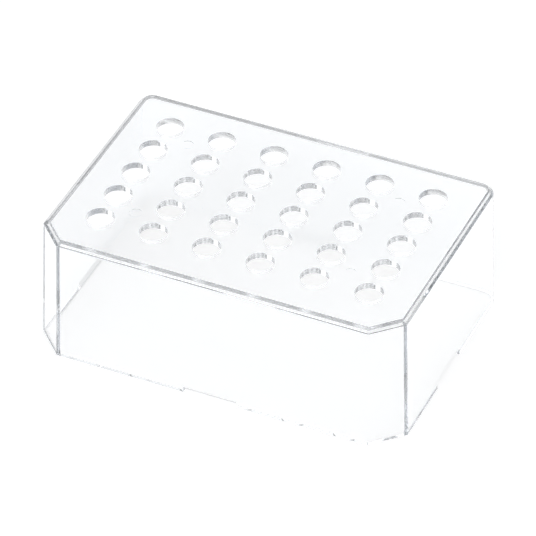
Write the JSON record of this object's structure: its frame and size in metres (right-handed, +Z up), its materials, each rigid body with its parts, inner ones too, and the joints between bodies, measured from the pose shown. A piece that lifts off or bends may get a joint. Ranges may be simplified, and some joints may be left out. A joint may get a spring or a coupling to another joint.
{
  "type": "microcentrifuge tube rack",
  "caption": "Clear one-piece bench rack: a flat deck with a grid of round holes for 1.5 ml tubes, on four thin walls, open underneath, with two cut front corners.",
  "frame": {"origin": "centre of the base, on the plane that the walls stand on", "axes": "+X along the long side, +Y to the back with the rounded corners, +Z up"},
  "size_m": [0.1518, 0.104, 0.0538],
  "materials": {
    "clear_polystyrene": "clear, polished"
  },
  "bodies": {
    "root": {"tube_rack": "clear_polystyrene"}
  },
  "joints": []
}
